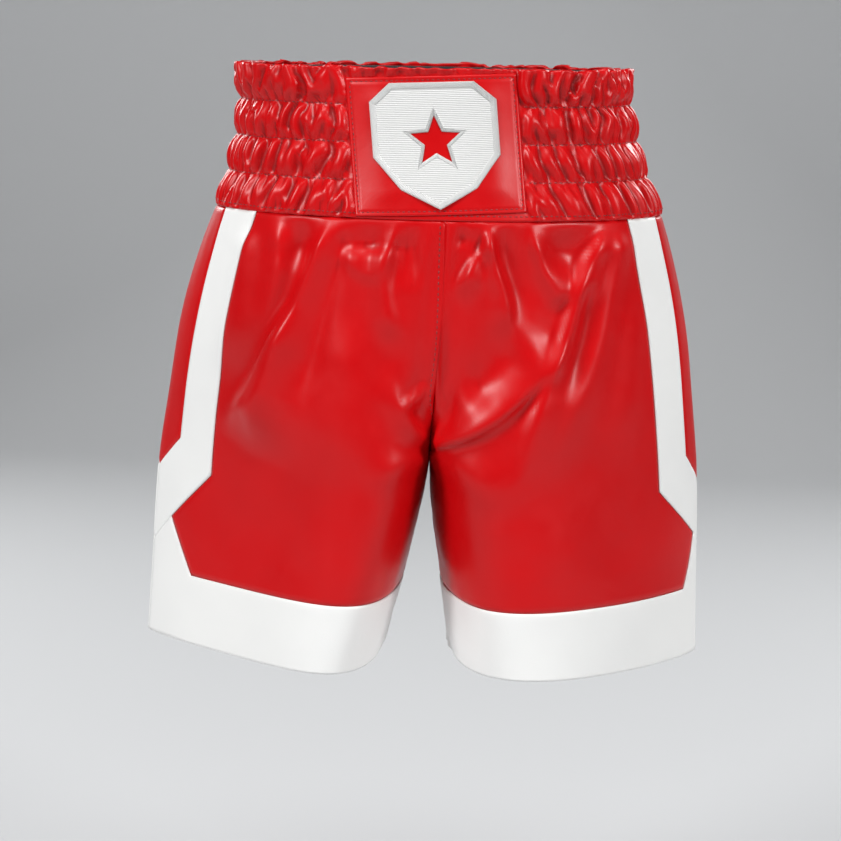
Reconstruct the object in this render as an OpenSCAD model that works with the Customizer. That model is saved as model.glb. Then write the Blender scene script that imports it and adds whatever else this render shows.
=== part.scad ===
// Boxing shorts in coated vinyl: a four-channel elastic waistband with a front patch,
// and two legs, each sewn from a front and back panel, a side panel, two stripes and
// two hem bands. Millimetres, +Z up, the wearer faces -Y. The origin is the middle of
// the waist opening at the top edge of the waistband, and the legs hang below it.

/* [Waistband] */
// Half of the width across the hips of the top edge
waist_half_w = 144; // [120:1:190]
// Half of the depth from belly to back of the top edge
waist_half_d = 101; // [80:1:130]
// Height of the waistband
band_h = 107; // [80:1:140]
// Extra half width at the bottom of the waistband
band_flare_w = 24; // [5:1:35]
// Extra half depth at the bottom of the waistband
band_flare_d = 14; // [5:1:30]
// How far the gathered vinyl puffs out over each elastic
puff = 4.2; // [2:0.1:8]
// Width of each elastic
elastic_w = 20; // [12:1:22]
// Thickness of each elastic
elastic_t = 1.4; // [0.8:0.1:2]

/* [Legs] */
// Total length from the top edge to the hem
total_length = 440; // [380:1:560]
// Front rise, from the top edge down to the crotch
rise = 296; // [270:1:340]
// Half of the full width at the hems
hem_half_w = 215; // [180:1:240]
// Half of the gap between the two hems
hem_gap = 25; // [8:1:40]
// Half of the depth of each hem
hem_half_d = 114; // [95:1:140]
// Half of the depth at the seat
seat_half_d = 129; // [110:1:150]
// How far the seat stands back from the middle
seat_back = 8; // [0:1:20]
// Height over which the flat centre seam curls under to the crotch
rise_curve_h = 112; // [70:1:150]
// How quickly the sides flare out below the waistband
side_flare_h = 110; // [60:1:140]

/* [Stripes and hem bands] */
// Distance from the side seam to a stripe's outer edge at the waist
stripe_top = 37; // [15:1:45]
// Distance from the side seam to a stripe's outer edge at its kink
stripe_kink = 30; // [20:1:40]
// Width of a stripe at the waist
stripe_top_w = 40; // [30:1:60]
// Width of a stripe at its kink
stripe_w = 38; // [30:1:50]
// Distance from the top edge down to the stripes' outer kink
kink_depth = 286; // [270:1:300]
// Sideways run for each millimetre of drop on the diagonal edges
diagonal_slope = 1.14; // [1:0.01:1.6]
// Height of the hem bands
hem_band_h = 51; // [35:1:55]
// Distance from the side seam to the shoulder of a hem band's peak
peak_shoulder = 24; // [15:1:35]
// Distance from the side seam to the foot of a hem band's peak
peak_foot = 50; // [40:1:65]

/* [Patch and emblem] */
// Width of the front patch
patch_w = 123; // [90:1:140]
// Height of the front patch
patch_h = 98; // [70:1:104]
// Turn of the patch, seen from the front
patch_tilt = 2.5; // [0:0.1:4]
// Height of the shield emblem
emblem_h = 84; // [50:1:88]
// Width of the shield emblem
emblem_w = 86; // [45:1:96]
// Width of the satin-stitched borders
border_w = 5; // [3:0.5:8]
// Outer radius of the star opening in the shield
star_r = 20; // [10:1:24]

/* [Fabric] */
// Thickness of the coated vinyl
vinyl_t = 1.2; // [0.8:0.1:1.6]
// Thickness of the woven lining
lining_t = 0.8; // [0.5:0.1:1.2]
// Thickness of the sewing thread
thread_d = 0.8; // [0.5:0.1:1]

/* [Hidden] */

vinyl_red = [0.78, 0.02, 0.03];
vinyl_white = [0.92, 0.92, 0.90];
lining_black = [0.06, 0.06, 0.07];
elastic_white = [0.85, 0.85, 0.82];
thread_red = [0.62, 0.02, 0.03];

channels = 4;
gap = 0.1;                     // clearance between layers that lie on each other
channel_h = band_h / channels;
channel_steps = 4;             // rows of facets down one channel
ring_steps = 48;               // facets round the waist
stitch_inset = 3;              // from a patch edge to its line of stitching
interfacing_t = 0.6;
binding_h = 12;
binding_drop = 7;              // how far the binding hangs below the waist seam
facing_h = 40;
facing_clear = 0.3;            // from the hem band to its facing
seam_beside = 3.5;             // from the centre seam to its stitching
tip_w = 1.4;                   // width at which a pointed piece is cut off
pad_t = 2;                     // thickness of the emblem's padded twill
label_size = [32, 22];

crease_fullness = 0.7;         // side_fullness far below the waistband
crease_h = 90;                 // height over which the sides' crease sets in
front_skew = 0.35;             // how far the front of a leg's section leans to the inseam
fork_h = 60;                   // how far below the crotch the fork's slack still shows
fork_share = 0.12;             // share of the leg's outline on which the fork curls tightly
blend_fill = 0.12;             // keeps the depth up where body and leg sections blend

// Heights of the pattern's corners, measured down from the top edge
crotch_z = -rise;
hem_z = -total_length;
hem_top_z = hem_z + hem_band_h;
kink_z = -kink_depth;
valley_z = kink_z - stripe_kink / diagonal_slope;
inner_kink_z = kink_z - 23;
peak_z = inner_kink_z - (stripe_kink + stripe_w - peak_shoulder) / diagonal_slope;
seam_tip_z = peak_z - peak_shoulder / diagonal_slope;

function mix(a, b, s) = a + (b - a) * s;
function clamp01(s) = min(1, max(0, s));
function smooth(s) = let (c = clamp01(s)) c * c * (3 - 2 * c);

// ---- the waistband's ring: angle a in degrees, 0 at +X and 270 at the front ----

function band_share(z) = pow(clamp01(-z / band_h), 2.2);
function band_half_w(z) = waist_half_w + band_flare_w * band_share(z);
function band_half_d(z) = waist_half_d + band_flare_d * band_share(z);
function band_point(a, z, off) =
    [(band_half_w(z) + off) * cos(a), (band_half_d(z) + off) * sin(a), z];

// Turn from the front centre at which the patch ends
patch_half_angle = patch_w / 2 / waist_half_w * 57.3;

// The gathers flatten out under the patch
function gather_share(a) =
    let (turn = abs(((a - 270 + 540) % 360) - 180))
    smooth((turn - patch_half_angle) / 6);
function channel_puff(z) =
    let (s = (-z % channel_h) / channel_h) pow(sin(180 * s), 0.7);
function puff_at(a, z) = puff * channel_puff(z) * gather_share(a);

lining_in = -(vinyl_t + gap + lining_t);   // offset of the lining's inner face
elastic_clear = 0.15;                      // from the lining to an elastic

// ---- one leg: share t from 0 at the centre front to 1 at the centre back ----

function depth_below_band(z) = max(0, -z - band_h);
function half_w(z) = mix(hem_half_w, waist_half_w + band_flare_w,
                         exp(-depth_below_band(z) / side_flare_h));
function seat_share(z) =
    let (s = depth_below_band(z) / (total_length - band_h)) 4 * s * (1 - s);
function half_d(z) =
    let (s = depth_below_band(z) / (total_length - band_h),
         straight = mix(waist_half_d + band_flare_d, hem_half_d, s))
    straight + (seat_half_d - (waist_half_d + hem_half_d + band_flare_d) / 2) * seat_share(z);
function centre_y(z) = seat_back * seat_share(z);
// 0 where the two legs share one round section, 1 where each has its own. The change
// ends at the crotch beside the centre seam, and lower and more softly away from it.
function leg_share(t, z) =
    let (drop = crotch_z + rise_curve_h - z, s = clamp01(drop / rise_curve_h),
         away = smooth(min(t, 1 - t) / fork_share))
    mix(1 - sqrt(1 - s * s), smooth(drop / (rise_curve_h + fork_h)), away);
function inner_x(z) = hem_gap * pow(clamp01((crotch_z - z) / (crotch_z - hem_z)), 0.8);

// How full the sides are: 1 is an ellipse, and less draws them to a soft crease
function side_fullness(z) = mix(crease_fullness, 1, exp(-depth_below_band(z) / crease_h));
// Sideways reach of share t, from 0 in the middle to 1 at the side seam
function reach(t, z) = 1 - pow(1 - pow(sin(180 * t), 2), side_fullness(z));
function body_depth(t) = sqrt(1 - pow(sin(180 * t), 4)) * (t < 0.5 ? -1 : 1);
function leg_depth(t) = -sin(360 * t + front_skew * 57.3 * sin(360 * t));
// A point on the left leg, off millimetres outside the fabric's outer face
function leg_point(t, z, off) =
    let (share = leg_share(t, z), out = reach(t, z),
         d = half_d(z) * (1 + blend_fill * share * (1 - share)) + off,
         x = mix(inner_x(z) - off * share, half_w(z) + off, out))
    [max(x, 0), d * mix(body_depth(t), leg_depth(t), share) + centre_y(z), z];

// Share t of the point that lies dist along the fabric in front of the side seam
function side_t(z, dist, t = 0.5, steps = 6) =
    steps == 0 ? t :
    let (eps = 0.004, stretch = norm(leg_point(t, z, 0) - leg_point(t - eps, z, 0)) / eps)
    side_t(z, dist - dist / steps, t - dist / steps / stretch, steps - 1);

// ---- the pattern lines, as distance from the side seam at each height ----

function below_waist(z) = clamp01((-z - band_h) / (kink_depth - band_h));
function diagonal(z, from_z, from_dist) = max(0, from_dist - (from_z - z) * diagonal_slope);
function stripe_outer(z) =
    z > kink_z ? mix(stripe_top, stripe_kink, below_waist(z)) : diagonal(z, kink_z, stripe_kink);
function stripe_inner(z) =
    z > inner_kink_z ? mix(stripe_top + stripe_top_w, stripe_kink + stripe_w,
                           (-z - band_h) / (-inner_kink_z - band_h))
                     : diagonal(z, inner_kink_z, stripe_kink + stripe_w);
function panel_edge(z) =
    z > peak_z ? stripe_inner(z)
               : mix(peak_shoulder, peak_foot, (peak_z - z) / (peak_z - hem_top_z));
// Top edge of a hem band at a distance from the side seam
function hem_band_top(dist) =
    dist > peak_shoulder
        ? mix(peak_z, hem_top_z, clamp01((dist - peak_shoulder) / (peak_foot - peak_shoulder)))
        : mix(seam_tip_z, peak_z, dist / peak_shoulder);

function levels(top, bottom, steps) = [for (i = [0:steps]) mix(top, bottom, i / steps)];

// ---- building solids from two facing grids of points ----

// A closed solid between an outer and an inner grid. Rows run down and columns run
// anticlockwise seen from above; wrap joins the last column to the first.
module sheet_solid(outer, inner, wrap = false) {
    rows = len(outer);
    cols = len(outer[0]);
    spans = wrap ? cols : cols - 1;
    half = rows * cols;
    points = concat([for (r = outer) each r], [for (r = inner) each r]);
    function at(r, c, side) = side * half + r * cols + c % cols;
    faces = [
        for (r = [0:rows - 2], c = [0:spans - 1]) each [
            [at(r, c, 0), at(r, c + 1, 0), at(r + 1, c + 1, 0)],
            [at(r, c, 0), at(r + 1, c + 1, 0), at(r + 1, c, 0)],
            [at(r, c, 1), at(r + 1, c + 1, 1), at(r, c + 1, 1)],
            [at(r, c, 1), at(r + 1, c, 1), at(r + 1, c + 1, 1)],
        ],
        for (c = [0:spans - 1]) each [
            [at(0, c, 0), at(0, c, 1), at(0, c + 1, 1)],
            [at(0, c, 0), at(0, c + 1, 1), at(0, c + 1, 0)],
            [at(rows - 1, c, 0), at(rows - 1, c + 1, 1), at(rows - 1, c, 1)],
            [at(rows - 1, c, 0), at(rows - 1, c + 1, 0), at(rows - 1, c + 1, 1)],
        ],
        if (!wrap) for (r = [0:rows - 2]) each [
            [at(r, 0, 0), at(r + 1, 0, 0), at(r + 1, 0, 1)],
            [at(r, 0, 0), at(r + 1, 0, 1), at(r, 0, 1)],
            [at(r, cols - 1, 0), at(r + 1, cols - 1, 1), at(r + 1, cols - 1, 0)],
            [at(r, cols - 1, 0), at(r, cols - 1, 1), at(r + 1, cols - 1, 1)],
        ],
    ];
    polyhedron(points, faces, convexity = 8);
}

// A ring round the waist between two offsets, at the given heights
module waist_ring(heights, off_in, off_out, puffed = false) {
    turns = [for (i = [0:ring_steps - 1]) 360 * i / ring_steps];
    function ring(off) = [
        for (z = heights) [for (a = turns) band_point(a, z, off + (puffed ? puff_at(a, z) : 0))]
    ];
    sheet_solid(ring(off_out), ring(off_in), wrap = true);
}

// A piece of the left leg between two edges given as shares t for each height
module leg_piece(heights, cols, from_t, to_t, off_in = -vinyl_t, off_out = 0) {
    function layer(off) = [
        for (i = [0:len(heights) - 1])
            [for (c = [0:cols]) leg_point(mix(from_t[i], to_t[i], c / cols), heights[i], off)]
    ];
    sheet_solid(layer(off_out), layer(off_in));
}

// The right leg mirrors the left; back pieces use the shares past the side seam
module right_leg() { mirror([1, 0, 0]) children(); }
function back_shares(ts) = [for (t = ts) 1 - t];

// ---- waistband ----

module waistband_shell() {
    color(vinyl_red)
        waist_ring(levels(0, -band_h, channels * channel_steps), -vinyl_t, 0, puffed = true);
}

module waistband_lining() {
    color(lining_black)
        waist_ring(levels(0, -band_h, 4), lining_in, lining_in + lining_t);
}

// The elastics lie in the pockets of the puffed channels and end beside the patch
module elastic(row) {
    middle = -channel_h * (row - 0.5);
    inside = lining_in + lining_t + elastic_clear;
    turn = 360 / ring_steps;
    first = ceil((patch_half_angle + 4) / turn);
    turns = [for (i = [first:ring_steps - first]) 270 + i * turn];
    function strip(off) = [
        for (z = [middle + elastic_w / 2, middle - elastic_w / 2])
            [for (a = turns) band_point(a, z, off)]
    ];
    color(elastic_white) sheet_solid(strip(inside + elastic_t), strip(inside));
}

module elastic_row_1() { elastic(1); }
module elastic_row_2() { elastic(2); }
module elastic_row_3() { elastic(3); }
module elastic_row_4() { elastic(4); }

module waist_seam_binding() {
    z_top = -band_h + binding_h - binding_drop;
    color(lining_black)
        waist_ring([z_top, z_top - binding_h], lining_in - gap - lining_t, lining_in - gap);
}

// One loop of thread round the waist, lying on the vinyl in the pinch of a channel
module thread_loop(z) {
    waist_ring([z, z - thread_d], gap, gap + thread_d);
}

module channel_stitching() {
    color(thread_red)
        for (row = [1:channels - 1]) thread_loop(-row * channel_h + thread_d / 2);
}

// ---- front patch and emblem, built flat as [sideways, up] and laid on the belly ----

patch_mid_z = -band_h / 2 - 1;
patch_face = interfacing_t + 2 * gap + vinyl_t;   // offset of the patch's outer face

// Lays a flat point on the front of the waistband, off millimetres proud of it
function on_belly(p, off) =
    let (x = p[0] * cos(patch_tilt) - p[1] * sin(patch_tilt),
         z = patch_mid_z + p[0] * sin(patch_tilt) + p[1] * cos(patch_tilt),
         w = band_half_w(z), d = band_half_d(z) + off)
    [x, -d * sqrt(1 - x * x / (w * w)), z];

module belly_sheet(size, off_in, off_out, cols = 12, rows = 8) {
    function layer(off) = [
        for (r = [0:rows]) [for (c = [0:cols])
            on_belly([(c / cols - 0.5) * size[0], (0.5 - r / rows) * size[1]], off)]
    ];
    sheet_solid(layer(off_out), layer(off_in));
}

// A band along a closed outline, from a smaller copy of it to a larger one
module belly_band(inner_line, outer_line, off_in, off_out) {
    function layer(off) = [
        for (line = [outer_line, inner_line]) [for (p = line) on_belly(p, off)]
    ];
    sheet_solid(layer(off_out), layer(off_in), wrap = true);
}

module patch_interfacing() {
    inset = 2 * stitch_inset + 1;
    color(elastic_white)
        belly_sheet([patch_w - inset, patch_h - inset], gap, gap + interfacing_t);
}

module waist_patch() {
    color(vinyl_red)
        belly_sheet([patch_w, patch_h], patch_face - vinyl_t, patch_face);
}

function rectangle_line(w, h, steps) = [
    for (i = [0:steps - 1]) [mix(-w / 2, w / 2, i / steps), h / 2],
    for (i = [0:steps - 1]) [w / 2, mix(h / 2, -h / 2, i / steps)],
    for (i = [0:steps - 1]) [mix(w / 2, -w / 2, i / steps), -h / 2],
    for (i = [0:steps - 1]) [-w / 2, mix(-h / 2, h / 2, i / steps)],
];

module patch_stitching() {
    w = patch_w - 2 * stitch_inset;
    h = patch_h - 2 * stitch_inset;
    color(thread_red)
        belly_band(rectangle_line(w - thread_d, h - thread_d, 10),
                   rectangle_line(w + thread_d, h + thread_d, 10),
                   patch_face + gap / 2, patch_face + gap / 2 + thread_d / 2);
}

// The shield's outline as a distance from its middle at each turn: a flat top with
// cut corners, straight sides and a pointed foot
shield_corners = [
    [0.34, 0.50], [0.50, 0.36], [0.50, -0.08], [0.30, -0.34], [0, -0.50],
    [-0.30, -0.34], [-0.50, -0.08], [-0.50, 0.36], [-0.34, 0.50],
];
emblem_steps = 40;             // points round each of the emblem's outlines
emblem_turns = [for (i = [0:emblem_steps - 1]) 90 - 360 * i / emblem_steps];
star_centre = [0, 3];

function cross2(a, b) = a[0] * b[1] - a[1] * b[0];
// Distance from a centre to a closed line of corners along one direction
function ray_hit(dir, corners) = max([
    for (i = [0:len(corners) - 1])
        let (a = corners[i], b = corners[(i + 1) % len(corners)], e = b - a,
             den = cross2(dir, e), s = den == 0 ? -1 : cross2(a, e) / den,
             k = den == 0 ? -1 : cross2(a, dir) / den)
        (k >= -0.0001 && k <= 1.0001 && s > 0) ? s : 0
]);
function outline(corners, grow) = [
    for (turn = emblem_turns)
        let (dir = [cos(turn), sin(turn)]) star_centre + dir * (ray_hit(dir, corners) + grow)
];
shield_points = [
    for (c = shield_corners) [c[0] * emblem_w, c[1] * emblem_h] - star_centre
];
star_points = [
    for (i = [0:9]) let (r = i % 2 == 0 ? star_r : star_r * 0.42)
        r * [cos(90 - 36 * i), sin(90 - 36 * i)]
];

module emblem_shield() {
    color(vinyl_white)
        belly_band(outline(star_points, border_w / 2), outline(shield_points, -border_w / 2),
                   patch_face + gap, patch_face + gap + pad_t * 0.6);
}

module emblem_border() {
    color(vinyl_white)
        belly_band(outline(shield_points, -border_w / 2 + gap), outline(shield_points, border_w / 2),
                   patch_face + gap, patch_face + gap + pad_t);
}

module emblem_star_border() {
    color(vinyl_white)
        belly_band(outline(star_points, -0.5), outline(star_points, border_w / 2 - gap),
                   patch_face + gap, patch_face + gap + pad_t);
}

// A blank woven label inside the centre back of the waistband
module size_label() {
    z_top = -8;
    label_turn = label_size[0] / waist_half_w * 57.3 / 2;
    face = lining_in - gap;
    function layer(off) = [
        for (z = [z_top, z_top - label_size[1]])
            [for (c = [0:4]) band_point(90 + label_turn * (c / 2 - 1), z, off)]
    ];
    color(elastic_white)
        sheet_solid(layer(face), layer(face - lining_t / 2));
}

// ---- leg pieces ----

// All pieces share the same levels, so that their edges meet along one line
waist_to_kink = levels(-band_h, kink_z, 8);
waist_to_peak = concat(waist_to_kink, [inner_kink_z, valley_z, mix(valley_z, peak_z, 0.5), peak_z]);
stripe_end_z = seam_tip_z + tip_w / diagonal_slope;
panel_heights = concat(waist_to_peak, [mix(peak_z, hem_top_z, 0.5), hem_top_z]);
stripe_heights = concat(waist_to_peak, [mix(peak_z, seam_tip_z, 0.5), stripe_end_z]);
side_heights = concat(waist_to_kink, [inner_kink_z, valley_z + tip_w / 2 / diagonal_slope]);

module panel(back) {
    centre_ts = [for (z = panel_heights) 0];
    edge_ts = [for (z = panel_heights) side_t(z, panel_edge(z))];
    color(vinyl_red)
        if (back) leg_piece(panel_heights, 10, back_shares(edge_ts), back_shares(centre_ts));
        else leg_piece(panel_heights, 10, centre_ts, edge_ts);
}

module stripe(back) {
    inner_ts = [for (z = stripe_heights) side_t(z, stripe_inner(z))];
    outer_ts = [for (z = stripe_heights) side_t(z, stripe_outer(z))];
    color(vinyl_white)
        if (back) leg_piece(stripe_heights, 3, back_shares(outer_ts), back_shares(inner_ts));
        else leg_piece(stripe_heights, 3, inner_ts, outer_ts);
}

module side_panel() {
    edge_ts = [for (z = side_heights) side_t(z, stripe_outer(z))];
    color(vinyl_red) leg_piece(side_heights, 4, edge_ts, back_shares(edge_ts));
}

// Columns of a hem: evenly spaced from the inseam to the foot of the peak, then one
// on each corner of the peak
hem_plain = 7;
hem_dists = [
    peak_foot, mix(peak_foot, peak_shoulder, 0.5), peak_shoulder, peak_shoulder / 2, 0,
];
function hem_tops(i) = i < hem_plain ? hem_top_z : hem_band_top(hem_dists[i - hem_plain]);
function hem_t(i, z) =
    i < hem_plain ? side_t(hem_top_z, peak_foot) * i / hem_plain
                  : side_t(z, hem_dists[i - hem_plain]);
hem_last = hem_plain + len(hem_dists) - 1;

module hem_band(back) {
    rows = 4;
    order = back ? [hem_last:-1:0] : [0:hem_last];
    function layer(off) = [
        for (r = [0:rows]) [
            for (i = order)
                let (z = mix(hem_tops(i), hem_z, r / rows), t = hem_t(i, z))
                leg_point(back ? 1 - t : t, z, off)
        ]
    ];
    color(vinyl_white) sheet_solid(layer(0), layer(-vinyl_t));
}

// The turned-up inside of the hem, one loop round the leg
module hem_facing() {
    outside = -vinyl_t - facing_clear;
    function layer(off) = [
        for (z = [hem_z + facing_h, hem_z + facing_h / 2, hem_z]) [
            for (i = [0:hem_last]) leg_point(hem_t(i, z), z, off),
            for (i = [hem_last - 1:-1:1]) leg_point(1 - hem_t(i, z), z, off),
        ]
    ];
    color(vinyl_white) sheet_solid(layer(outside), layer(outside - lining_t), wrap = true);
}

// Share t of the point at a distance beside the centre seam
function centre_t(z, beside) =
    asin(sqrt(1 - pow(1 - beside / half_w(z), 1 / side_fullness(z)))) / 180;

// Thread beside the centre seam, on the wearer's right of it
module rise_stitching(back) {
    heights = levels(-band_h - 2, crotch_z + rise_curve_h * 0.45, 8);
    function layer(off) = [
        for (z = heights) [
            for (beside = [seam_beside, seam_beside + thread_d])
                let (t = centre_t(z, beside)) leg_point(back ? 1 - t : t, z, off)
        ]
    ];
    color(thread_red) right_leg()
        if (back) sheet_solid(layer(gap), layer(gap + thread_d / 2));
        else sheet_solid(layer(gap + thread_d / 2), layer(gap));
}

module left_front_panel() { panel(false); }
module left_back_panel() { panel(true); }
module left_side_panel() { side_panel(); }
module left_front_stripe() { stripe(false); }
module left_back_stripe() { stripe(true); }
module left_front_hem_band() { hem_band(false); }
module left_back_hem_band() { hem_band(true); }
module left_hem_facing() { hem_facing(); }
module right_front_panel() { right_leg() panel(false); }
module right_back_panel() { right_leg() panel(true); }
module right_side_panel() { right_leg() side_panel(); }
module right_front_stripe() { right_leg() stripe(false); }
module right_back_stripe() { right_leg() stripe(true); }
module right_front_hem_band() { right_leg() hem_band(false); }
module right_back_hem_band() { right_leg() hem_band(true); }
module right_hem_facing() { right_leg() hem_facing(); }
module front_rise_stitching() { rise_stitching(false); }
module back_rise_stitching() { rise_stitching(true); }

waistband_shell();
waistband_lining();
elastic_row_1();
elastic_row_2();
elastic_row_3();
elastic_row_4();
waist_seam_binding();
channel_stitching();
waist_patch();
patch_interfacing();
patch_stitching();
emblem_shield();
emblem_border();
emblem_star_border();
size_label();
left_front_panel();
left_back_panel();
left_side_panel();
left_front_stripe();
left_back_stripe();
left_front_hem_band();
left_back_hem_band();
left_hem_facing();
right_front_panel();
right_back_panel();
right_side_panel();
right_front_stripe();
right_back_stripe();
right_front_hem_band();
right_back_hem_band();
right_hem_facing();
front_rise_stitching();
back_rise_stitching();
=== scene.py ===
import math

import bpy
import numpy as np
from mathutils import Matrix, Vector
from numpy.linalg import norm


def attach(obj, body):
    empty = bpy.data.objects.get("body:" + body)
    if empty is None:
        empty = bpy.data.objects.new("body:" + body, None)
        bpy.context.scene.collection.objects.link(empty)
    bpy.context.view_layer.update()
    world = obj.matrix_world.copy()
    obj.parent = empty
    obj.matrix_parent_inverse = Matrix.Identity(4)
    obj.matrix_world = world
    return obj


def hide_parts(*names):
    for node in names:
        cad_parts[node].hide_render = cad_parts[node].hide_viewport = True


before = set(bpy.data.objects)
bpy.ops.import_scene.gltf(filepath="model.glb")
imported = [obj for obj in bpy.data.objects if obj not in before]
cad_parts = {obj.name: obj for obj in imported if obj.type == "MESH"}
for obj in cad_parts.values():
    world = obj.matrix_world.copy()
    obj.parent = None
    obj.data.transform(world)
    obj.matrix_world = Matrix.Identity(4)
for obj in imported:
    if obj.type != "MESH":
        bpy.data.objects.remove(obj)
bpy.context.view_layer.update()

# Boxing shorts in coated vinyl. Lengths are in millimetres until a mesh is made.
# +Z is up, the wearer faces -Y, and the top edge of the waistband is at z = 0.

MM = 0.001

# ---- driving dimensions, the same as the CAD's ----

WAIST_W, WAIST_D = 144.0, 101.0
BAND_H = 107.0
FLARE_W, FLARE_D = 24.0, 14.0
CHANNELS = 4
CHANNEL_H = BAND_H / CHANNELS
PUFF = 4.2
LENGTH = 440.0
RISE = 296.0
RISE_CURVE = 112.0
THIGH_TOP, THIGH_H, FORK_SHARE = -120.0, 290.0, 0.12
HEM_D = 114.0
HEM_W = {"left": 215.0, "right": 217.0}
HEM_GAP = {"left": 20.0, "right": 31.0}
GAP_POWER = 1.3
SKEW = {"left": 0.25, "right": 0.45}
SEAT_D, SEAT_BACK = 125.0, 11.0
SIDE_FLARE = 110.0
CREASE_FULLNESS, CREASE_H = 0.70, 90.0
BLEND_FILL = 0.12
INSEAM_TURN = {"left": 0.022, "right": 0.0}

STRIPE_TOP, STRIPE_KINK = 37.0, 30.0
STRIPE_TOP_W, STRIPE_W = 40.0, 38.0
KINK_Z = -286.0
INNER_KINK_Z = KINK_Z - 23.0
SLOPE = 1.14
SHOULDER, FOOT = 24.0, 50.0
HEM_Z = -LENGTH
HEM_TOP_Z = HEM_Z + 51.0
CROTCH_Z = -RISE
VALLEY_Z = KINK_Z - STRIPE_KINK / SLOPE
PEAK_Z = INNER_KINK_Z - (STRIPE_KINK + STRIPE_W - SHOULDER) / SLOPE
SEAM_TIP_Z = PEAK_Z - SHOULDER / SLOPE

VINYL_T = 1.1
LINING_T = 0.8
FACING_H, FACING_CLEAR = 40.0, 0.35
BINDING_T, BINDING_ABOVE, BINDING_BELOW = 0.7, 5.0, 7.0
ELASTIC_W, ELASTIC_T = 20.0, 1.1
ELASTIC_END = 0.56  # radians from the middle of the front to an elastic's end
LABEL_W, LABEL_H, LABEL_TOP = 32.0, 22.0, -8.0
PATCH_W, PATCH_H, PATCH_TILT = 123.0, 98.0, math.radians(2.5)
PATCH_Z = -BAND_H / 2 - 1
SEAM_SHIFT = {"left": -3.5, "right": 3.5}
SEAM_BESIDE = 4.0
EMBLEM_W, EMBLEM_H, STAR_R = 86.0, 84.0, 20.0
BORDER, STAR_BORDER = (5.0, 1.5, 0.0), (2.6, 1.2, 0.6)     # width, height, how far outside

SIGN = {"left": 1.0, "right": -1.0}

# The centre front seam bows to the wearer's left, the waistband leans to the right, and it
# sits a little higher on the left
SEAM_WANDER, BAND_LEAN, LEFT_RAISE = 5.5, 0.07, 0.016


def smooth(s):
    s = np.clip(s, 0, 1)
    return s * s * (3 - 2 * s)


def lean(p):
    """Moves points from the symmetrical pattern to where the worn shorts have them."""
    x, y, z = p[:, 0], p[:, 1], p[:, 2]
    above = np.maximum(0, z + BAND_H)
    front = smooth(0.5 - y / 40)
    middle = 1 - smooth(np.abs(x) / 80)
    below = smooth((z - CROTCH_Z - 10) / 130) * smooth((-z - BAND_H + 3) / 6)
    shift = SEAM_WANDER * middle * front * below - BAND_LEAN * above
    rise = LEFT_RAISE * x * (1 - smooth((-z - 60) / 180))
    return np.stack([x + shift, y, z + rise], axis=1)


# ---- smooth noise, the same on every run ----

def noise(shape, cells, seed, wrap=False):
    """A smooth random field from -1 to 1, with cells = (rows, columns) of random knots."""
    rng = np.random.default_rng(seed)
    knots = rng.uniform(-1, 1, (cells[0] + 3, cells[1] + 3))
    if wrap:
        knots[:, -3:] = knots[:, :3]
    rows = np.linspace(1, cells[0] + 1, shape[0])
    cols = np.linspace(1, cells[1] + 1, shape[1], endpoint=not wrap)
    r, c = np.meshgrid(rows, cols, indexing="ij")
    return sample(knots[..., None], r, c)[..., 0]


def cubic_weights(f):
    return (
        ((2 - f) * f - 1) * f / 2,
        ((3 * f - 5) * f * f + 2) / 2,
        ((4 - 3 * f) * f + 1) * f / 2,
        (f - 1) * f * f / 2,
    )


def sample(grid, r, c, wrap=False):
    """Catmull-Rom interpolation of grid (rows, columns, values) at float rows and columns."""
    rows, cols = grid.shape[:2]
    r0, c0 = np.floor(r).astype(int), np.floor(c).astype(int)
    wr, wc = cubic_weights(r - r0), cubic_weights(c - c0)
    out = 0.0
    for i in range(4):
        ri = np.clip(r0 + i - 1, 0, rows - 1)
        for j in range(4):
            cj = c0 + j - 1
            cj = cj % cols if wrap else np.clip(cj, 0, cols - 1)
            out = out + (wr[i] * wc[j])[..., None] * grid[ri, cj]
    return out


def distances(line):
    """How far along a line each of its points lies."""
    return np.concatenate([[0], np.cumsum(norm(np.diff(line, axis=0), axis=1))])


def follow(line, run, at):
    """Values of line at the distances at, where run holds its points' own distances."""
    return np.stack([np.interp(at, run, line[:, k]) for k in range(3)], axis=1)


def grid_normals(p, wrap=False):
    """Outward normals of a grid whose columns run anticlockwise seen from above."""
    across = np.gradient(p, axis=1)
    if wrap:
        across = (np.roll(p, -1, axis=1) - np.roll(p, 1, axis=1)) / 2
    n = np.cross(across, -np.gradient(p, axis=0))
    return n / np.maximum(norm(n, axis=2, keepdims=True), 1e-9)


# ---- the garment's plain surface, as in the CAD ----

def below_band(z):
    return np.maximum(0, -z - BAND_H)


def half_w(z, hem_w):
    return hem_w + (WAIST_W + FLARE_W - hem_w) * np.exp(-below_band(z) / SIDE_FLARE)


def seat_share(z):
    s = below_band(z) / (LENGTH - BAND_H)
    return 4 * s * (1 - s)


def half_d(z):
    top = WAIST_D + FLARE_D
    s = below_band(z) / (LENGTH - BAND_H)
    return top + (HEM_D - top) * s + (SEAT_D - (top + HEM_D) / 2) * seat_share(z)


def leg_share(t, z):
    drop = CROTCH_Z + RISE_CURVE - z
    s = np.clip(drop / RISE_CURVE, 0, 1)
    tight = 1 - np.sqrt(1 - s * s)
    away = smooth(np.minimum(t, 1 - t) / FORK_SHARE)
    return tight + (smooth((THIGH_TOP - z) / THIGH_H) - tight) * away


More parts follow.
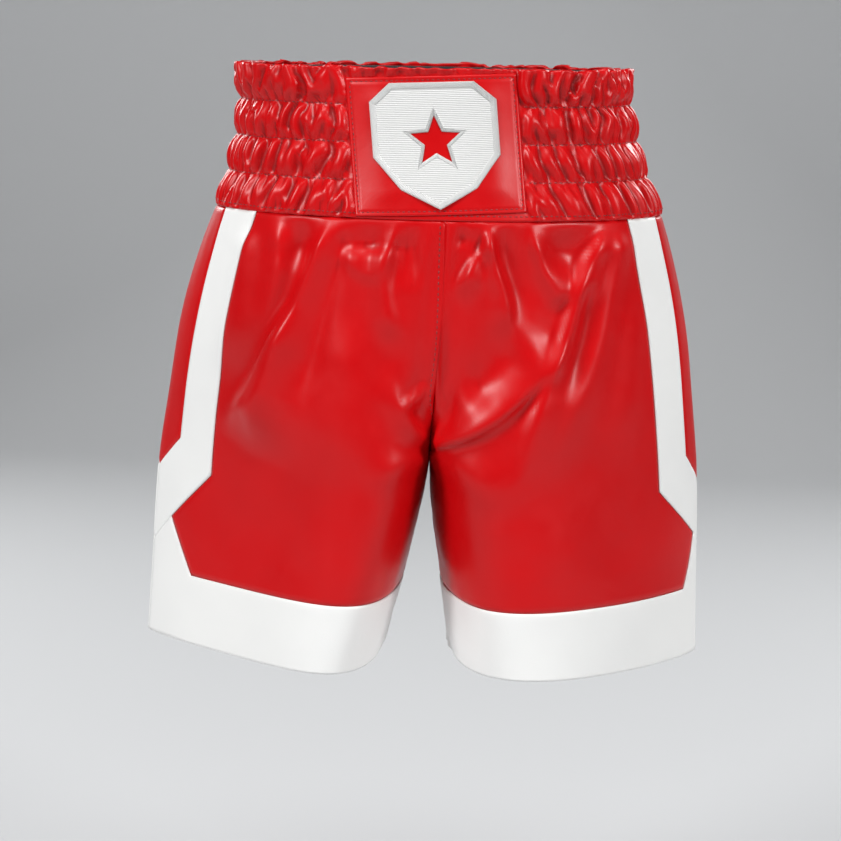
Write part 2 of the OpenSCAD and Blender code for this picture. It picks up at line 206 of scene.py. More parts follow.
def leg_curve(t, z, side):
    """The leg's outline at height z, for shares t from centre front to centre back."""
    s2 = np.sin(np.pi * t) ** 2
    fullness = CREASE_FULLNESS + (1 - CREASE_FULLNESS) * np.exp(-below_band(z) / CREASE_H)
    out = 1 - (1 - s2) ** fullness
    share = leg_share(t, z)
    depth = half_d(z) * (1 + BLEND_FILL * share * (1 - share))
    inner = HEM_GAP[side] * np.clip((CROTCH_Z - z) / (CROTCH_Z - HEM_Z), 0, 1) ** GAP_POWER
    body = np.sqrt(np.maximum(0, 1 - s2 * s2)) * np.sign(t - 0.5)
    turn = 2 * np.pi * t
    leg = np.sin(turn + SKEW[side] * np.sin(turn))
    y = depth * (body * (1 - share) - leg * share)
    x = inner + (half_w(z, HEM_W[side]) - inner) * out
    return np.stack([x, y + SEAT_BACK * seat_share(z), z + 0 * t], axis=-1)


def band_half(z):
    share = np.clip(-z / BAND_H, 0, 1) ** 2.2
    return WAIST_W + FLARE_W * share, WAIST_D + FLARE_D * share


def band_point(a, z, off):
    w, d = band_half(z)
    return np.stack([(w + off) * np.cos(a), (d + off) * np.sin(a), z + 0 * a], axis=-1)


# ---- folds of the legs ----

FOLD_DEPTH, FOLD_WIDTH = 1.15, 1.5


def raise_fold(p, points, height, width, fade=(0.3, 0.4), sharp=0.0):
    """How far a grid stands out because of a fold along a smooth curve through the points,
    which are (sideways, z). It fades in and out over the shares fade of its length, and sharp
    makes one of its sides steeper."""
    x, z = np.abs(p[..., 0]), p[..., 2]
    at = np.linspace(0, len(points) - 1, 4 * (len(points) - 1) + 1)
    curve = sample(np.array([points], float), 0 * at, at)
    lengths = norm(np.diff(curve, axis=0), axis=1)
    total = lengths.sum()
    best = np.full(x.shape, 1e9)
    side = np.zeros(x.shape)
    along = np.zeros(x.shape)
    start = 0.0
    for (ax, az), (bx, bz), length in zip(curve[:-1], curve[1:], lengths):
        ux, uz = (bx - ax) / length, (bz - az) / length
        k = np.clip((x - ax) * ux + (z - az) * uz, 0, length)
        dx, dz = x - ax - k * ux, z - az - k * uz
        dist = np.hypot(dx, dz)
        near = dist < best
        best = np.where(near, dist, best)
        side = np.where(near, np.sign(ux * dz - uz * dx), side)
        along = np.where(near, (start + k) / total, along)
        start += length
    # A fold is narrow where it starts and widens along its length
    spread = width * FOLD_WIDTH * (1 - sharp * side) * (0.55 + 0.75 * along)
    fade_in, fade_out = fade
    strength = smooth((1 - along) / fade_out)
    if fade_in:
        strength = smooth(along / fade_in) * strength
    return height * FOLD_DEPTH * strength * np.exp(-(best / spread) ** 2)


def raise_folds(p, folds):
    return sum(raise_fold(p, *fold) for fold in folds)


# Each fold's points, height, width, fades and sharpness
RIGHT_FRONT = [
    ([(76, -107), (83, -132), (93, -162), (103, -192), (113, -228), (123, -256), (130, -290)],
     10.0, 12, (0.0, 0.3), 0.45),
    ([(68, -107), (72, -135), (80, -165), (89, -200), (98, -235), (108, -275)],
     -6.5, 9, (0.1, 0.4), -0.2),
    ([(103, -165), (114, -200), (127, -232), (140, -258), (150, -280)], 8.5, 10, (0.3, 0.3), 0.4),
    ([(118, -107), (113, -130), (117, -160), (127, -195), (138, -235)], 4.5, 8, (0.0, 0.4), -0.3),
    ([(100, -107), (101, -130), (108, -150)], -4.0, 7, (0.0, 0.5)),
    ([(76, -112), (66, -134), (50, -146), (38, -134), (30, -112)], 1.6, 6, (0.4, 0.4), 0.3),
    ([(53, -107), (52, -136)], -4.0, 12, (0.0, 0.4)),
    ([(30, -107), (38, -128), (40, -152), (36, -178), (30, -196)],
     3.6, 5.0, (0.0, 0.25), -0.3),
    ([(19, -107), (25, -130), (24, -160)], -3.6, 5.5, (0.0, 0.5)),
    ([(138, -112), (141, -150), (147, -198), (153, -240)], 4.0, 9, (0.2, 0.4)),
    ([(62, -170), (62, -225), (60, -310)], 3.5, 14),
    ([(34, -180), (32, -230), (34, -280)], -2.5, 14),
    ([(4, -224), (14, -238), (22, -234)], 3.0, 4, (0.3, 0.3)),
    ([(3, -270), (14, -258), (28, -238), (38, -208)], 3.6, 6, (0.1, 0.5), 0.3),
    ([(4, -280), (24, -286), (48, -302)], 3.0, 8, (0.1, 0.6)),
]
LEFT_FRONT = [
    ([(36, -107), (29, -127), (16, -148), (5, -166)], 4.5, 5, (0.0, 0.4), -0.4),
    ([(30, -107), (35, -124), (41, -142), (49, -162), (52, -190)], 5.0, 5, (0.0, 0.3), 0.3),
    ([(22, -107), (27, -128), (31, -150)], -3.5, 6, (0.0, 0.4)),
    ([(44, -107), (50, -130), (60, -160), (62, -185)], -3.5, 8, (0.1, 0.4)),
    ([(66, -107), (70, -124), (80, -146), (95, -168)], 5.5, 6, (0.0, 0.2), -0.3),
    ([(127, -107), (117, -120), (107, -140), (100, -164), (94, -190), (85, -222), (74, -256),
      (66, -310)], 7.5, 9, (0.0, 0.35), -0.5),
    ([(96, -107), (93, -135), (91, -150)], -4.5, 12, (0.0, 0.5)),
    ([(134, -107), (128, -145), (120, -190), (104, -245), (90, -300)], 5.0, 9, (0.1, 0.4), -0.3),
    ([(112, -145), (106, -190), (93, -240)], -4.0, 6),
    ([(3, -270), (16, -267), (38, -254), (60, -234), (80, -210), (93, -188)],
     7.5, 9, (0.05, 0.25), -0.5),
    ([(18, -236), (42, -216), (68, -188)], -5.5, 15),
    ([(5, -274), (22, -285), (50, -300), (62, -324)], 3.5, 12, (0.05, 0.5)),
    ([(145, -150), (146, -195), (140, -250), (128, -290)], 4.0, 10),
    ([(11, -107), (14, -128)], -3.5, 4, (0.0, 0.5)),
]
BACK = {
    "left": [
        ([(30, -107), (38, -150), (55, -205), (60, -260)], 5.0, 10, (0.0, 0.4), 0.2),
        ([(70, -107), (62, -140), (40, -170)], 4.0, 8, (0.0, 0.4)),
        ([(110, -107), (104, -150), (112, -215), (118, -290)], 5.0, 11, (0.0, 0.4), -0.3),
        ([(4, -262), (30, -246), (66, -238), (100, -246)], 4.5, 10, (0.05, 0.5)),
        ([(4, -270), (26, -292), (40, -330), (44, -370)], 4.0, 11, (0.05, 0.5)),
        ([(85, -200), (90, -260), (84, -340)], 3.0, 13),
    ],
    "right": [
        ([(22, -107), (26, -140), (44, -190), (66, -235)], 5.0, 9, (0.0, 0.4), -0.2),
        ([(84, -107), (80, -150), (92, -200), (90, -260)], 5.0, 10, (0.0, 0.4), 0.3),
        ([(128, -107), (122, -160), (126, -220)], 4.0, 10, (0.0, 0.4)),
        ([(4, -266), (34, -256), (72, -262), (110, -280)], 4.5, 10, (0.05, 0.5)),
        ([(4, -272), (20, -300), (30, -345)], 3.5, 10, (0.05, 0.5)),
        ([(60, -150), (56, -200), (48, -240)], -3.0, 12),
    ],
}
FRONT = {"left": LEFT_FRONT, "right": RIGHT_FRONT}


# ---- cloth: a grid of points held at a set distance from each other ----

def pair_sets(shape, span_r, span_c, wrap):
    """Pairs of points (r, c) and (r + span_r, c + span_c), in sets that share no point."""
    rows, cols = shape
    index = np.arange(rows * cols).reshape(shape)
    first = index[:rows - span_r] if span_r else index
    if wrap:
        second = np.roll(index, -span_c, axis=1)[span_r:]
    elif span_c >= 0:
        first, second = first[:, :cols - span_c], index[span_r:, span_c:]
    else:
        first, second = first[:, -span_c:], index[span_r:, :span_c]
    r, c = np.indices(first.shape)
    key = (r // span_r) % 2 if span_r else (c // span_c) % 2
    return [(first[key == k], second[key == k]) for k in (0, 1)]


def settle(p, rest, fixed, base, reach, steps, bend, gravity=0.0, wrap=False):
    """Lets cloth at p relax to the lengths that rest(a, b, rows, columns) gives for pairs of
    points. Points never leave base by more than reach = (inward, outward), measured along
    base's normals, and fixed points stay."""
    shape = p.shape[:2]
    normals = grid_normals(base, wrap).reshape(-1, 3)
    x = p.reshape(-1, 3).copy()
    before = x.copy()
    flat_base = base.reshape(-1, 3)
    free = (~fixed).reshape(-1).astype(float)
    links = []
    spans = [(0, 1, 1.0), (1, 0, 1.0), (1, 1, 0.35), (1, -1, 0.35),
             (0, 2, bend), (2, 0, bend), (0, 4, bend), (4, 0, bend)]
    for span_r, span_c, stiffness in spans:
        for a, b in pair_sets(shape, span_r, span_c, wrap):
            length = rest(a, b, span_r, span_c)
            weight = free[a] + free[b]
            keep = (weight > 0) & (length < 60)
            a, b, length, weight = a[keep], b[keep], length[keep], weight[keep]
            links.append((a, b, length, stiffness * free[a] / weight, stiffness * free[b] / weight))
    low, high = (np.broadcast_to(np.asarray(r, float), shape).reshape(-1) for r in reach)
    for _ in range(steps):
        moved = (x - before) * 0.9
        moved[:, 2] -= gravity
        before = x.copy()
        x += moved * free[:, None]
        for _ in range(4):
            for a, b, length, share_a, share_b in links:
                d = x[b] - x[a]
                far = np.sqrt((d * d).sum(1)) + 1e-9
                d *= ((far - length) / far)[:, None]
                x[a] += d * share_a[:, None]
                x[b] -= d * share_b[:, None]
        off = ((x - flat_base) * normals).sum(1)
        x += normals * ((np.clip(off, low, high) - off) * free)[:, None]
    return x.reshape(p.shape)


# ---- the legs' cloth, one grid of rows down and columns from centre front to centre back ----

LEG_ROWS = 112
LEG_COLS = 221
RIPPLE_SEED = {"left": 5, "right": 9}
LEG_REACH = 5.0  # how far the cloth may settle away from the plain surface


def leg_base(side):
    """(points, widths) of a leg's plain grid. Columns are evenly spaced either way from the
    side seam, apart from those near the rise seam, which take up the widening at the crotch."""
    lines, runs = [], []
    for z in np.linspace(-BAND_H, HEM_Z, LEG_ROWS):
        # Below the crotch the inseam turns a little to the front
        turn = INSEAM_TURN[side] * smooth((CROTCH_Z - 10 - z) / 90)
        t = np.linspace(0, 1, 601)
        t = t + turn * (1 - smooth(np.minimum(t, 1 - t) / 0.3))
        line = leg_curve(t, z, side)
        lines.append(line)
        runs.append(distances(line))
    reach = LEG_ROWS // 6
    window = np.hanning(2 * reach + 3)[1:-1]
    lengths = np.pad([run[-1] for run in runs], reach, mode="edge")
    widths = np.convolve(lengths, window / window.sum(), mode="valid")
    v = np.linspace(-1, 1, LEG_COLS)
    extra = np.sign(v) * smooth((np.abs(v) - 0.85) / 0.15)
    points = []
    for line, run, width in zip(lines, runs, widths):
        want = (run[-1] + v * width + extra * (run[-1] - width)) / 2
        points.append(follow(line, run, want))
    return np.array(points), widths


def make_leg(side):
    """A leg's settled and folded cloth, as if it were the left one."""
    base, widths = leg_base(side)
    n = grid_normals(base)
    front = smooth(0.5 - base[..., 1:2] / 30)[..., 0]
    folds = raise_folds(base, FRONT[side]) * front + raise_folds(base, BACK[side]) * (1 - front)
    seed = RIPPLE_SEED[side]
    ripple = noise(base.shape[:2], (7, 12), seed) + 0.2 * noise(base.shape[:2], (18, 28), seed + 1)
    u = np.linspace(0, 1, LEG_COLS)[None, :]
    rows = np.arange(LEG_ROWS)[:, None]
    # Nothing moves at the rise seam or the waist seam, and less beside the side seam
    seam = smooth(np.minimum(u, 1 - u) / 0.03)
    top = smooth(rows / LEG_ROWS * 15)
    stripe = smooth(np.abs(u - 0.5) * widths[:, None] / 60)
    start = base + n * (ripple * (0.4 + 0.6 * stripe) * seam * top)[..., None]
    fixed = np.zeros(base.shape[:2], bool)
    fixed[0] = True
    fixed[:, 0] = fixed[:, -1] = True
    # Cloth is cut a little larger than the plain surface, most of all where it is gathered
    ease = 1.001 + 0.004 * np.exp(-rows / LEG_ROWS * 4.6)
    centre = base.mean(axis=1, keepdims=True)
    cut = (centre + (start - centre) * np.stack([ease, ease, 1 + 0 * ease], axis=-1)).reshape(-1, 3)
    reach = (-LEG_REACH * seam - 0.1, LEG_REACH * seam * (0.3 + 0.7 * stripe) + 0.1)
    steps = 45

    def rest(a, b, _span_r, _span_c):
        return norm(cut[b] - cut[a], axis=1)

    cloth = settle(start, rest, fixed, base, reach, steps, 0.25, gravity=0.01)
    cloth = cloth + n * (folds * (0.25 + 0.75 * stripe) * seam * (0.04 + 0.96 * top))[..., None]
    return {"side": side, "grid": cloth, "widths": widths}


def leg_row(z):
    return (-z - BAND_H) / (LENGTH - BAND_H) * (LEG_ROWS - 1)


def leg_at(leg, u, z):
    """Points of a leg's cloth at shares u and heights z, on the leg's own side."""
    p = sample(leg["grid"], leg_row(z), u * (LEG_COLS - 1))
    return p * np.array([SIGN[leg["side"]], 1, 1])


def share_at(leg, z, dist):
    """Share u of the point dist in front of the side seam at height z."""
    return 0.5 - (dist + SEAM_SHIFT[leg["side"]]) / width_at(leg, z)


def width_at(leg, z):
    return np.interp(leg_row(z), np.arange(LEG_ROWS), leg["widths"])


# ---- meshes ----

def place(name, data):
    obj = bpy.data.objects.new(name, data)
    bpy.context.collection.objects.link(obj)
    return obj


def make_mesh(name, verts, faces, uvs=None):
    mesh = bpy.data.meshes.new(name)
    mesh.from_pydata((lean(np.asarray(verts)) * MM).tolist(), [], faces)
    if uvs is not None:
        layer = mesh.uv_layers.new(name="UVMap")
        loops = np.empty(len(mesh.loops), int)
        mesh.loops.foreach_get("vertex_index", loops)
        layer.data.foreach_set("uv", (np.asarray(uvs)[loops] * MM).ravel())
    mesh.polygons.foreach_set("use_smooth", [True] * len(mesh.polygons))
    mesh.update()
    return place(name, mesh)


def quads(rows, cols, start, flip, wrap=False):
    """Faces of a grid of vertices numbered from start, row by row."""
    r, c = np.indices((rows - 1, cols if wrap else cols - 1))
    a = start + r * cols + c
    b = start + r * cols + (c + 1) % cols
    square = np.stack([a, a + cols, b + cols, b], axis=-1).reshape(-1, 4)
    return (square[:, ::-1] if flip else square).tolist()


def grid_uv(p):
    """Distances across and down a grid, so that a pattern keeps its scale."""
    across = norm(np.diff(p, axis=1), axis=2)
    down = norm(np.diff(p, axis=0), axis=2)
    u = np.concatenate([np.zeros((len(p), 1)), np.cumsum(across, axis=1)], axis=1)
    v = np.concatenate([np.zeros((1, p.shape[1])), np.cumsum(down, axis=0)], axis=0)
    return np.stack([u - u.mean(axis=1, keepdims=True), -v], axis=-1)


def sheet_mesh(name, outer, inner, wrap=False, mirrored=False, uv=None):
    """A closed sheet between two grids. The inside faces take the second material slot."""
    rows, cols = outer.shape[:2]
    half = rows * cols
    verts = np.concatenate([outer.reshape(-1, 3), inner.reshape(-1, 3)])
    front = quads(rows, cols, 0, mirrored, wrap)
    back = quads(rows, cols, half, not mirrored, wrap)
    edge = []
    last = cols if wrap else cols - 1
    for c in range(last):
        d = (c + 1) % cols
        edge.append([c, d, half + d, half + c])
        low = (rows - 1) * cols
        edge.append([low + d, low + c, half + low + c, half + low + d])
    if not wrap:
        for r in range(rows - 1):
            a, b = r * cols, (r + 1) * cols
            edge.append([b, a, half + a, half + b])
            a, b = a + cols - 1, b + cols - 1
            edge.append([a, b, half + b, half + a])
    if mirrored:
        edge = [f[::-1] for f in edge]
    uv = (grid_uv(outer) if uv is None else uv).reshape(-1, 2)
    obj = make_mesh(name, verts, front + back + edge, np.concatenate([uv, uv]))
    material = np.zeros(len(obj.data.polygons), int)
    material[len(front):len(front) + len(back)] = 1
    obj.data.polygons.foreach_set("material_index", material)
    return obj


def finish_piece(obj, node, outside, inside=None):
    obj.data.materials.append(outside)
    if inside:
        obj.data.materials.append(inside)
    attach(obj, "root")
    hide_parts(node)


def seam_groove(dist, depth):
    """How far cloth draws in beside a seam."""
    return depth * np.exp(-(dist / 1.8) ** 2)


def leg_sheet(name, leg, u, z, edge_dist, lift=0.0, groove=1.0):
    """A piece of a leg over the grid of shares u and heights z."""
    p = leg_at(leg, u, z)
    n = grid_normals(p) * SIGN[leg["side"]]
    # Above the crotch the edges of both legs meet in the middle
    from_middle = np.minimum(u, 1 - u) * width_at(leg, z)
    n[..., 0] *= np.where(z > CROTCH_Z, smooth(from_middle / 8), 1)
    drawn = seam_groove(edge_dist, groove)[..., None]
    outer = p + n * (lift - drawn)
    inner = p - n * (VINYL_T + drawn * 0.5)
    return sheet_mesh(name, outer, inner, mirrored=leg["side"] == "right")


def heights(bottom):
    """Heights of a piece's rows below the waistband, one of them at each corner on its way."""
    marks = [-BAND_H] + [k for k in KEYS if k > bottom] + [bottom]
    out = []
    for a, b in zip(marks[:-1], marks[1:]):
        n = max(1, round((a - b) / MESH_STEP))
        out += [a + (b - a) * i / n for i in range(n)]
    return np.array(out + [bottom])


def stripe_edge(z, top, low, kink_z):
    """Distance from the side seam to a stripe's edge, which turns diagonal at kink_z."""
    down = (-z - BAND_H) / (-kink_z - BAND_H)
    return np.where(z > kink_z, top + (low - top) * down, np.maximum(0, low - (kink_z - z) * SLOPE))


def stripe_outer(z):
    return stripe_edge(z, STRIPE_TOP, STRIPE_KINK, KINK_Z)


def stripe_inner(z):
    return stripe_edge(z, STRIPE_TOP + STRIPE_TOP_W, STRIPE_KINK + STRIPE_W, INNER_KINK_Z)


def panel_edge(z):
    down = (PEAK_Z - z) / (PEAK_Z - HEM_TOP_Z)
    return np.where(z > PEAK_Z, stripe_inner(z), SHOULDER + (FOOT - SHOULDER) * down)


def hem_band_top(dist):
    low = PEAK_Z + (HEM_TOP_Z - PEAK_Z) * np.clip((dist - SHOULDER) / (FOOT - SHOULDER), 0, 1)
    return np.where(dist > SHOULDER, low, SEAM_TIP_Z + (PEAK_Z - SEAM_TIP_Z) * dist / SHOULDER)


MESH_STEP = 2.6
OVERLAID = {"lift": 0.25, "groove": 0.45}   # white pieces lie over the red ones' edges
KEYS = [KINK_Z, INNER_KINK_Z, VALLEY_Z, PEAK_Z, HEM_TOP_Z]
PANEL_SPAN, SIDE_SPAN, STRIPE_SPAN = 250, 70, 48  # rough widths


def side_line(leg, z, dist, back):
    """Share u of the point dist from the side seam, in front of it or behind it."""
    return share_at(leg, z, -dist if back else dist)


def span_sheet(name, leg, z, from_u, to_u, width, **form):
    """A piece between two lines, given as shares u for each height."""
    cols = max(3, round(width / MESH_STEP)) + 1
    f = np.linspace(0, 1, cols)[None, :]
    zz = np.repeat(z[:, None], cols, axis=1)
    u = from_u[:, None] + (to_u - from_u)[:, None] * f
    across = np.abs(to_u - from_u)[:, None] * width_at(leg, z)[:, None]
    edge = np.minimum(np.minimum(f, 1 - f) * across, np.minimum(z[0] - zz, zz - z[-1]) + 0.5)
    return leg_sheet(name, leg, u, zz, edge, **form)


def hem_sheet(name, leg, back):
    """A hem band: plain columns from the inseam to the foot of its peak, then the peak's."""
    plain = max(8, round(PANEL_SPAN / MESH_STEP))
    peak = np.linspace(FOOT, 0, 2 * max(8, round(FOOT / MESH_STEP / 2)) + 1)
    peak = np.sort(np.concatenate([peak, [SHOULDER]]))[::-1]
    top = np.concatenate([np.full(plain, HEM_TOP_Z), hem_band_top(peak)])
    f = np.linspace(0, 1, max(8, round(70 / MESH_STEP)) + 1)[:, None]
    zz = top + (HEM_Z - top) * f
    inseam = 1.0 if back else 0.0
    foot = side_line(leg, zz[:, :plain], FOOT, back)
    u = np.concatenate([inseam + (foot - inseam) * (np.arange(plain) / plain),
                        side_line(leg, zz[:, plain:], peak, back)], axis=1)
    edge = top - zz
    if back:
        u, zz, edge = u[:, ::-1], zz[:, ::-1], edge[:, ::-1]
    return leg_sheet(name, leg, u, zz, edge, **OVERLAID)


def hem_facing_sheet(name, leg):
    """The turned-up cloth inside both hem bands of a leg, one ring."""
    cols = max(60, round(640 / MESH_STEP))
    z = np.linspace(HEM_Z + FACING_H, HEM_Z, 9)
    u, zz = np.meshgrid(np.arange(cols) / cols, z)
    p = leg_at(leg, u, zz)
    n = grid_normals(p, wrap=True) * SIGN[leg["side"]]
    outer = p - n * (VINYL_T + FACING_CLEAR)
    inner = p - n * (VINYL_T + FACING_CLEAR + LINING_T)
    return sheet_mesh(name, outer, inner, wrap=True, mirrored=leg["side"] == "right")


# ---- waistband ----

BAND_COLS = 520
CHANNEL_ROWS = 16
BAND_ROWS = CHANNELS * CHANNEL_ROWS + 1
ROLLED_ROWS = CHANNEL_ROWS // 4
LINING_OFF, BINDING_OFF, LABEL_OFF = -2.0, -3.1, -3.2  # inside the band's plain surface
RING_COLS = 240
PLEATS = [(4.8, (6, 56), 31), (2.2, (9, 96), 32)]     # height, knots (down, round) and seed
BAND_REACH, RIM_WAVE = 6.4, 1.6      # how far gathers may go out, and move the top edge


def beside_patch(p):
    """Distances of points outside the patch's sides and above its top; negative inside."""
    turned = -p[..., 0] * math.sin(PATCH_TILT) + (p[..., 2] - PATCH_Z) * math.cos(PATCH_TILT)
    along = p[..., 0] * math.cos(PATCH_TILT) + (p[..., 2] - PATCH_Z) * math.sin(PATCH_TILT)
    side = np.where(p[..., 1] < 0, np.abs(along) - PATCH_W / 2, 99)
    return side, turned - PATCH_H / 2


def crumple(shape, cells, seed):
    """Rounded pillows with sharp creases between them, from 0 to about 1."""
    warp = noise(shape, (cells[0] + 4, cells[1] // 3), seed + 50, wrap=True)
    rng = np.random.default_rng(seed)
    knots = rng.uniform(-1, 1, (cells[0] + 3, cells[1]))
    rows = np.linspace(1, cells[0] + 1, shape[0])
    cols = np.linspace(0, cells[1], shape[1], endpoint=False)
    r, c = np.meshgrid(rows, cols, indexing="ij")
    return np.abs(sample(knots[..., None], r, c + 0.9 * warp, wrap=True)[..., 0]) ** 0.6


def make_band():
    """(cloth, normals) of the gathered vinyl. It puffs out over each channel, is held down on
    the rows of stitches between them, and lies flat under the patch."""
    a = np.linspace(0, 2 * np.pi, BAND_COLS, endpoint=False)
    aa, zz = np.meshgrid(a, np.linspace(0, -BAND_H, BAND_ROWS))
    base = band_point(aa, zz, 0)
    n = grid_normals(base, wrap=True)
    shape = base.shape[:2]
    side, above = beside_patch(base)
    gather = np.maximum(smooth((side + 1) / 5), 0.6 * smooth((above + 1) / 3))
    phase = (-zz % CHANNEL_H) / CHANNEL_H
    phase[-1] = 1.0
    phase[:CHANNEL_ROWS] = 0.15 + 0.85 * phase[:CHANNEL_ROWS]   # the rim stays open
    puff = np.sin(np.pi * phase) ** 0.55
    pleats = sum(high * crumple(shape, cells, seed) for high, cells, seed in PLEATS)
    broad = noise(shape, (6, 26), 6, wrap=True)
    height = gather * puff * (PUFF * (0.2 + 0.12 * broad) + pleats)
    start = base + n * height[..., None]
    rim = smooth(1 - np.arange(BAND_ROWS) / 8)[:, None]
    start[..., 2] += rim * gather * noise(shape, (2, 70), 8, wrap=True) * RIM_WAVE
    fixed = gather < 0.02
    tuck = noise(shape, (9, 170), 12, wrap=True)
    for r in range(CHANNEL_ROWS, BAND_ROWS, CHANNEL_ROWS):
        fixed[r] = True
        start[r] = base[r] + n[r] * (gather[r] * (0.5 + 0.7 * tuck[r]))[:, None]
    # The vinyl is cut longer than the elastics it is gathered on
    step = norm(np.roll(base, -1, axis=1) - base, axis=2)
    fullness = 1 + gather * (0.10 + 0.14 * puff) * (1 + 0.5 * broad)
    cut = (step * fullness).reshape(-1)
    drop = BAND_H / (BAND_ROWS - 1) * 1.05

    def rest(a, b, span_r, span_c):
        return np.hypot((cut[a] + cut[b]) / 2 * span_c, drop * span_r)

    reach = (-0.3 + 0 * gather, 0.2 + BAND_REACH * gather)
    cloth = settle(start, rest, fixed, base, reach, 10, 0.06, wrap=True)
    return cloth, n


def band_sheet(name, cloth, n_base):
    inner = cloth - n_base * VINYL_T
    a = np.linspace(0, 2 * np.pi, BAND_COLS, endpoint=False)
    for r in range(ROLLED_ROWS):
        turned = band_point(a, cloth[r, :, 2] - 0.6, LINING_OFF + 0.1)
        inner[r] = turned + (inner[r] - turned) * (r / ROLLED_ROWS)
    obj = sheet_mesh(name, cloth, inner, wrap=True)
    # The vinyl is rolled over the top edge, so its face shows a little way down inside
    inside = (BAND_ROWS - 1) * BAND_COLS
    for polygon in obj.data.polygons[inside:inside + ROLLED_ROWS * BAND_COLS]:
        polygon.material_index = 0
    return obj


def ring_sheet(name, z, off_out, thickness, wobble, seed):
    """A band of cloth inside the waistband, off_out millimetres outside its plain surface."""
    a = np.linspace(0, 2 * np.pi, RING_COLS, endpoint=False)
    aa, zz = np.meshgrid(a, np.asarray(z, float))
    wave = wobble * noise(aa.shape, (3, 60), seed, wrap=True)
    return sheet_mesh(name, band_point(aa, zz, off_out + wave),
                      band_point(aa, zz, off_out + wave - thickness), wrap=True)


def elastic_sheet(name, row):
    """The ribbed elastic in a channel, which stops at both sides of the patch."""
    middle = -CHANNEL_H * (row - 0.5)
    a = 1.5 * np.pi + np.linspace(ELASTIC_END, 2 * np.pi - ELASTIC_END, 150)
    aa, zz = np.meshgrid(a, middle + np.linspace(ELASTIC_W / 2, -ELASTIC_W / 2, 6))
    outside = 0.15 - VINYL_T + 0.12 * np.sin(np.arange(len(a)) * 1.6)[None, :]
    return sheet_mesh(name, band_point(aa, zz, outside), band_point(aa, zz, outside - ELASTIC_T))


def label_sheet(name):
    """The size label, sewn flat inside the middle of the back."""
    across = np.linspace(-LABEL_W / 2, LABEL_W / 2, 17)
    p = np.stack(np.meshgrid(across, np.linspace(LABEL_TOP, LABEL_TOP - LABEL_H, 12)), axis=-1)
    a, z = np.pi / 2 + p[..., 0] / WAIST_W, p[..., 1]
    inside = LABEL_OFF - 0.5 * noise(p.shape[:2], (2, 3), 41)
    return sheet_mesh(name, band_point(a, z, inside)[:, ::-1],
                      band_point(a, z, inside - 0.4)[:, ::-1])


# ---- front patch and emblem, laid on the belly from flat [sideways, up] points ----

def on_belly(p, off):
    x = p[..., 0] * math.cos(PATCH_TILT) - p[..., 1] * math.sin(PATCH_TILT)
    z = PATCH_Z + p[..., 0] * math.sin(PATCH_TILT) + p[..., 1] * math.cos(PATCH_TILT)
    w, d = band_half(z)
    return np.stack([x, -(d + off) * np.sqrt(1 - (x / w) ** 2), z], axis=-1)


def belly_grid(w, h, step):
    cols, rows = round(w / step) + 1, round(h / step) + 1
    x, y = np.meshgrid(np.linspace(-w / 2, w / 2, cols), np.linspace(h / 2, -h / 2, rows))
    return np.stack([x, y], axis=-1)


PATCH_OFF = 0.8
PATCH_PAD = 1.6
STITCH_INSET = 3.0


def from_patch_edges(p):
    return PATCH_W / 2 - np.abs(p[..., 0]), PATCH_H / 2 - np.abs(p[..., 1])


def patch_height(p):
    """Outer face of the patch above the belly: rolled edges, a stitched ditch, a soft middle."""
    side, end = from_patch_edges(p)
    edge = np.minimum(side, end)
    rolled = 1.1 * (1 - np.exp(-np.maximum(edge, 0) / 0.6))
    ditch = -0.7 * np.exp(-((edge - STITCH_INSET) / 1.0) ** 2)
    soft = PATCH_PAD * smooth((side - STITCH_INSET) / 22) * smooth((end - STITCH_INSET) / 16)
    return PATCH_OFF + rolled + ditch + soft


def patch_sheet(name):
    p = belly_grid(PATCH_W, PATCH_H, 1.0)
    wave = noise(p.shape[:2], (5, 6), 21) * 0.45
    top = patch_height(p) + wave * smooth(np.minimum(*from_patch_edges(p)) / 20)
    return sheet_mesh(name, on_belly(p, top), on_belly(p, np.minimum(top - 0.8, PATCH_OFF)))


SHIELD = np.array([(0.34, 0.50), (0.50, 0.36), (0.50, -0.08), (0.30, -0.34), (0.0, -0.50),
                   (-0.30, -0.34), (-0.50, -0.08), (-0.50, 0.36), (-0.34, 0.50)])
STAR_CENTRE = np.array([0.0, 3.0])


def closed_line(corners, step):
    """Points along a closed outline, with a point on each corner."""
    out = []
    for a, b in zip(corners, np.roll(corners, -1, axis=0)):
        n = max(2, round(norm(b - a) / step))
        out += [a + (b - a) * i / n for i in range(n)]
    return np.array(out)


def offset_line(line, amount):
    """A closed outline moved outwards by amount, with mitred corners."""
    before, after = np.roll(line, 1, axis=0), np.roll(line, -1, axis=0)
    a, b = line - before, after - line
    a /= norm(a, axis=1, keepdims=True)
    b /= norm(b, axis=1, keepdims=True)
    na, nb = np.stack([-a[:, 1], a[:, 0]], 1), np.stack([-b[:, 1], b[:, 0]], 1)
    mitre = na + nb
    mitre /= np.maximum((mitre * na).sum(1, keepdims=True), 0.3)
    return line + mitre * amount


def shield_line():
    return closed_line(SHIELD * np.array([EMBLEM_W, EMBLEM_H]), 1.0)


def star_line():
    k = np.arange(10)
    r = np.where(k % 2 == 0, STAR_R, STAR_R * 0.45)
    a = np.pi / 2 - k * np.pi / 5
    return closed_line(STAR_CENTRE + np.stack([r * np.cos(a), r * np.sin(a)], 1), 1.0)


def emblem_base(flat):
    """The twill under the embroidery, which lies on the patch's soft middle."""
    return patch_height(flat * 0.6) - 0.1


